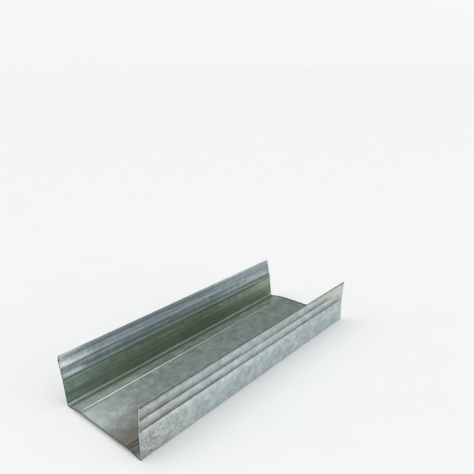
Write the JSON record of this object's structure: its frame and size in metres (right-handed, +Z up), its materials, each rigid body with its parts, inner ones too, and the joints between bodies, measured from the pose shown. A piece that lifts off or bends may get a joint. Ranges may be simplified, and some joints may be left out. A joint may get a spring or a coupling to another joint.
{
  "type": "drywall track",
  "caption": "Roll-formed U channel of thin galvanised sheet with grooved web and flanges, fixed to a floor or ceiling to hold the ends of wall studs.",
  "frame": {"origin": "middle of the rectangle that the track covers on the floor, at floor level", "axes": "+X along the track, +Y across it towards the flange that is sprung open, +Z up out of the mouth of the channel"},
  "size_m": [0.215, 0.0816, 0.0349],
  "materials": {
    "galvanised_steel": "satin zinc coating with faint rolling lines and grey blotches"
  },
  "bodies": {
    "root": {"track": "galvanised_steel"}
  },
  "joints": []
}
